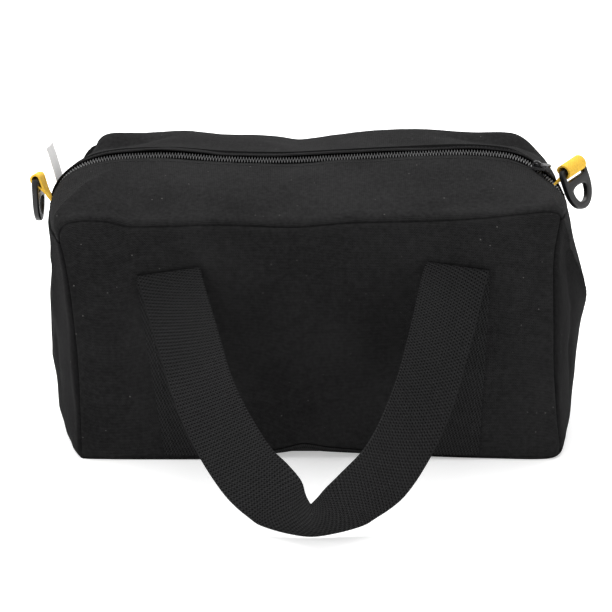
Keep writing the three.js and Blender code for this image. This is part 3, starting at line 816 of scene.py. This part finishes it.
def handle_surface(facing):
    """The handle's ribbon, from its inner edge to its outer edge."""
    edges = np.array(HANDLE_EDGES, float) + np.array([HANDLE_MIDDLE, 0, 0])
    edges *= np.array([1, -facing, 1])
    t = parameters(edges.mean(axis=1))
    wanted = np.linspace(0, t[-1], 280)
    inner, outer = through(edges[:, 0], t, wanted), through(edges[:, 1], t, wanted)
    share = even(17)[:, None, None]
    surface = (1 - share) * inner[None] + share * outer[None]
    from_edge = np.minimum(share, 1 - share)[..., 0] * WEBBING_WIDTH
    bead = 0.4 * np.exp(-((from_edge - 1.5) ** 2) / 1.5)
    return surface + normals(surface, (0, facing * 0.5, 1)) * bead[..., None]


def build_handle(label, facing):
    surface = handle_surface(facing)
    piece = cloth(f"{label}_handle_webbing", surface, (0, facing * 0.5, 1), WEBBING_LOOK, WEBBING)
    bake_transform(piece)
    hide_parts(f"{label}_handle")


def build_straps(label, facing, face_piece):
    depth = depth_on(face_piece, facing)
    for side, sign in (("left", -1), ("right", 1)):
        top = STRAP_TOP
        rows = np.linspace(STRAP_FOOT, top, 50)
        edges = np.linspace(-WEBBING_WIDTH / 2, WEBBING_WIDTH / 2, 17)
        surface = np.zeros((len(rows), len(edges), 3))
        for r, z in enumerate(rows):
            lean = STRAP_LEAN[side] * (1 - z / top)
            for c, offset in enumerate(edges):
                x = HANDLE_MIDDLE + sign * 111.5 + offset + lean
                rim = min(offset + 25, 25 - offset)
                swell = WEBBING * (1 - 0.45 * math.exp(-rim / 1.2))
                surface[r, c] = (x, depth(x, max(z, 8)) + facing * swell, z)
        piece = cloth(f"{label}_{side}_strap_webbing", surface, (0, facing, 0), STRAP_LOOK, WEBBING)
        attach(piece, "bag")
        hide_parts(f"{label}_{side}_strap")
        for name, column in (("inner", 2), ("outer", 14)):
            path = surface[:, column] + np.array([0, facing * 0.15, 0])
            row = stitches(f"{label}_{side}_strap_{name}_stitching", path, (0, facing, 0), THREAD_LOOK)
            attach(row, "bag")


build_handle("front", -1)
build_handle("rear", 1)
build_straps("front", -1, body_pieces["front_canvas"])
build_straps("rear", 1, body_pieces["rear_canvas"])


# ---- Rings, loops and label ------------------------------------------------------------------
def joint(name):
    return next(j for j in frame["joints"] if j["name"] == name)


def ring_frame(name, hang):
    """Origin on the bar's axis, with the bar's direction, the way the ring hangs, and through it."""
    found = joint(name)
    bar = unit(found["axis"])
    down = np.array(hang, float)
    down = unit(down - bar * down.dot(bar))
    return np.array(found["pos_m"]) / MM, bar, down, np.cross(bar, down)


def ring_curve_points(kind):
    """Outline of the ring, its webbing slot, or its eye: x along the bar and y down the ring."""
    if kind == "slot":
        return rounded_box(13, 2.3, 8.6, 1.6)
    if kind == "eye":
        points = [(9.4 * math.cos(a), 18.2 + 11.2 * math.sin(a)) for a in np.linspace(0, math.pi, 28)]
        top = [(9.4 * math.cos(a), 18.2 - 2.8 * math.sin(a)) for a in np.linspace(math.pi, 0, 12)[1:-1]]
        return points + top
    lower = [(17.3 * math.cos(a), 13 + 22.5 * math.sin(a) ** 0.9) for a in np.linspace(0, math.pi, 36)]
    left_half = [(-17.3, 6), (-16.6, 0.5), (-14.6, -2.0), (-9, -2.6)]
    upper = left_half + [(-x, y) for x, y in left_half[::-1]]
    return lower + upper


def rounded_box(half, low, high, radius):
    points = []
    corners = ((half, high, 0), (-half, high, 1), (-half, low, 2), (half, low, 3))
    for x, y, quarter in corners:
        centre = (x - math.copysign(radius, x), y + (radius if y == low else -radius))
        for k in range(5):
            a = math.pi / 2 * (quarter + k / 4)
            points.append((centre[0] + radius * math.cos(a), centre[1] + radius * math.sin(a)))
    return points


def build_ring(name, joint_name, hang, node):
    origin, bar, down, through = ring_frame(joint_name, hang)
    data = bpy.data.curves.new(name, "CURVE")
    data.dimensions = "2D"
    data.fill_mode = "BOTH"
    data.extrude = (RING_THICK / 2 - RING_EDGE) * MM
    data.bevel_depth = RING_EDGE * MM
    data.bevel_resolution = 4
    data.offset = -RING_EDGE * MM
    for kind in ("outline", "slot", "eye"):
        points = ring_curve_points(kind)
        spline = data.splines.new("POLY")
        spline.points.add(len(points) - 1)
        for target, (x, y) in zip(spline.points, points):
            target.co = (x * MM, y * MM, 0, 1)
        spline.use_cyclic_u = True
    source = bpy.data.objects.new(name + "_source", data)
    bpy.context.scene.collection.objects.link(source)
    bpy.context.view_layer.update()
    mesh = bpy.data.meshes.new_from_object(source.evaluated_get(bpy.context.evaluated_depsgraph_get()))
    bpy.data.objects.remove(source)
    basis = Matrix([[*row, 0] for row in np.array([bar, down, through]).T] + [[0, 0, 0, 1]])
    mesh.transform(Matrix.Translation(Vector(origin * MM)) @ basis)
    work = bmesh.new()
    work.from_mesh(mesh)
    bmesh.ops.remove_doubles(work, verts=work.verts, dist=1e-5)
    bmesh.ops.recalc_face_normals(work, faces=work.faces)
    for face in work.faces:
        face.smooth = True
    for edge in work.edges:
        edge.smooth = edge.calc_face_angle(0) < math.radians(40)
    work.to_mesh(mesh)
    work.free()
    mesh.materials.clear()
    mesh.materials.append(RING_LOOK)
    piece = bpy.data.objects.new(name, mesh)
    bpy.context.scene.collection.objects.link(piece)
    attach(piece, node)
    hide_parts(node)


def loop_surface(origin, bar, base, width_axis, around):
    """Webbing folded round the ring's bar: out from the base, round the bar and back to the base."""
    origin, base = np.asarray(origin, float), np.asarray(base, float)
    tail = base - origin
    reach = np.linalg.norm(tail)
    bar = unit(bar)
    tail = unit(tail - bar * tail.dot(bar))
    lift = unit(np.cross(bar, tail))
    lift = lift if lift[2] > 0 else -lift
    path = [base + lift * 0.9, origin + tail * reach * 0.45 + lift * 1.2]
    for degrees in np.linspace(70, 290, 12):
        a = math.radians(degrees)
        path.append(origin + around * (lift * math.sin(a) + tail * math.cos(a)))
    path.append(origin + tail * reach * 0.45 - lift * 0.8)
    path.append(base - lift * 0.9)
    line = smooth_curve(path, even(70))
    near_base = np.clip(np.linalg.norm(line - base, axis=1) / reach, 0, 1)[:, None]
    axes = near_base * bar + (1 - near_base) * unit(width_axis)
    axes /= np.linalg.norm(axes, axis=1, keepdims=True)
    return line[None] + axes[None] * np.linspace(-LOOP_WIDTH / 2, LOOP_WIDTH / 2, 13)[:, None, None]


def build_loops():
    left_origin, _, _, _ = ring_frame("left_ring_swing", LEFT_RING_HANG)
    right_origin, right_bar, _, _ = ring_frame("right_ring_swing", RIGHT_RING_HANG)
    wanted = (
        ("left", left_origin, LEFT_LOOP_WIDTH_AXIS, LEFT_LOOP_BASE, LEFT_LOOP_BASE_AXIS, LEFT_LOOP_RADIUS),
        ("right", right_origin, right_bar, RIGHT_LOOP_BASE, right_bar, RIGHT_LOOP_RADIUS),
    )
    for side, origin, bar, base, width_axis, around in wanted:
        surface = loop_surface(origin, bar, base, width_axis, around)
        centre = surface.mean(axis=(0, 1))
        n = normals(surface, (0, 0, 1))
        facing = np.sign(((surface - centre) * n).sum(axis=2).mean())
        points, faces, uv = sheet_mesh(surface, n[6, 35] * facing, 1.5)
        piece = new_piece(f"{side}_loop_webbing", points, faces, YELLOW_LOOK, uv)
        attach(piece, "bag")
        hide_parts(f"{side}_loop")


def build_label():
    """A blank folded ribbon sewn in beside the left loop."""
    rows = 30
    columns = 14
    surface = np.zeros((rows, columns, 3))
    for r, up in enumerate(np.linspace(0, 1, rows)):
        for c, across in enumerate(np.linspace(0, 1, columns)):
            y = 12 + 27 * across - 3 * up
            x = -205.5 - 9.5 * up**1.4 + 2.2 * math.sin(3.0 * across) * up
            surface[r, c] = (x, y, 183 + LABEL_HEIGHT * up + 1.5 * across)
    piece = cloth("care_label_ribbon", surface, (1, 0, 0), LABEL_LOOK, 0.6)
    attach(piece, "bag")
    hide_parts("care_label")


build_ring("left_ring_moulding", "left_ring_swing", LEFT_RING_HANG, "left_ring")
build_ring("right_ring_moulding", "right_ring_swing", RIGHT_RING_HANG, "right_ring")
build_loops()
build_label()


# ---- Slider, pull tab and base board ---------------------------------------------------------
def bevelled(node, look, width):
    piece = frame["nodes"][node]
    bevel = piece.modifiers.new("rounded_edges", "BEVEL")
    bevel.width = width * MM
    bevel.segments = 3
    bevel.limit_method = "ANGLE"
    piece.data.materials.clear()
    piece.data.materials.append(look)


bevelled("zip_slider", METAL_LOOK, 0.45)
bevelled("zip_pull_tab", METAL_LOOK, 0.35)
bevelled("base_board", BOARD_LOOK, 0.8)


# ---- Floor, light and camera -----------------------------------------------------------------
FLOOR_GLOW = 0.4          # the floor is a lit white table
SKY_STRENGTH = 0.86


def build_floor():
    made, shader = new_material("studio_floor", (0.92, 0.92, 0.92), 0.9, 0.1)
    node, maths, mix = adder(made.node_tree)
    where = node("ShaderNodeTexCoord").outputs["Object"]
    cloud = node("ShaderNodeTexNoise", Vector=where, Scale=3.0, Detail=2.0).outputs[0]
    paint = mix(cloud, (0.91, 0.91, 0.91, 1), (0.94, 0.94, 0.94, 1))
    made.node_tree.links.new(paint, shader.inputs["Base Color"])
    half = 6000
    corners = [(-half, -half, 0), (half, -half, 0), (half, half, 0), (-half, half, 0)]
    shader.inputs["Emission Color"].default_value = (1, 1, 1, 1)
    shader.inputs["Emission Strength"].default_value = FLOOR_GLOW
    floor = new_piece("floor", corners, [(0, 1, 2, 3)], made)


def area_light(name, place, aim, size, power):
    data = bpy.data.lights.new(name, "AREA")
    data.shape = "DISK"
    data.size = size
    data.energy = power
    lamp = bpy.data.objects.new(name, data)
    bpy.context.scene.collection.objects.link(lamp)
    lamp.location = place
    lamp.rotation_mode = "QUATERNION"
    lamp.rotation_quaternion = (Vector(aim) - Vector(place)).to_track_quat("-Z", "Y")


def build_light():
    world = bpy.data.worlds.new("studio")
    world.use_nodes = True
    world.node_tree.nodes["Background"].inputs["Color"].default_value = (1, 1, 1, 1)
    world.node_tree.nodes["Background"].inputs["Strength"].default_value = SKY_STRENGTH
    bpy.context.scene.world = world
    area_light("overhead", (-0.3, 1.1, 2.6), (0, 0.1, 0), 3.0, 100)
    area_light("front_left", (-1.6, -1.2, 1.6), (0, -0.1, 0.1), 1.0, 11)
    bpy.context.scene.view_settings.view_transform = "Standard"


CAMERA_ELEVATION = math.radians(18)
CAMERA_AZIMUTH = math.radians(1.2)
CAMERA_ROLL = math.radians(-0.5)
CAMERA_DISTANCE = 1.5
CAMERA_TARGET = Vector((-0.0035, 0, 0.0956))
CAMERA_LENS = 105.8


def build_camera():
    data = bpy.data.cameras.new("camera")
    data.lens = CAMERA_LENS
    data.clip_end = 50
    camera = bpy.data.objects.new("camera", data)
    bpy.context.scene.collection.objects.link(camera)
    back = Vector((
        math.sin(CAMERA_AZIMUTH) * math.cos(CAMERA_ELEVATION),
        -math.cos(CAMERA_AZIMUTH) * math.cos(CAMERA_ELEVATION),
        math.sin(CAMERA_ELEVATION),
    ))
    camera.location = CAMERA_TARGET + back * CAMERA_DISTANCE
    facing = (-back).to_track_quat("-Z", "Y").to_matrix().to_4x4()
    camera.rotation_mode = "QUATERNION"
    camera.rotation_quaternion = (facing @ Matrix.Rotation(CAMERA_ROLL, 4, "Z")).to_quaternion()
    bpy.context.scene.camera = camera


build_floor()
build_light()
build_camera()
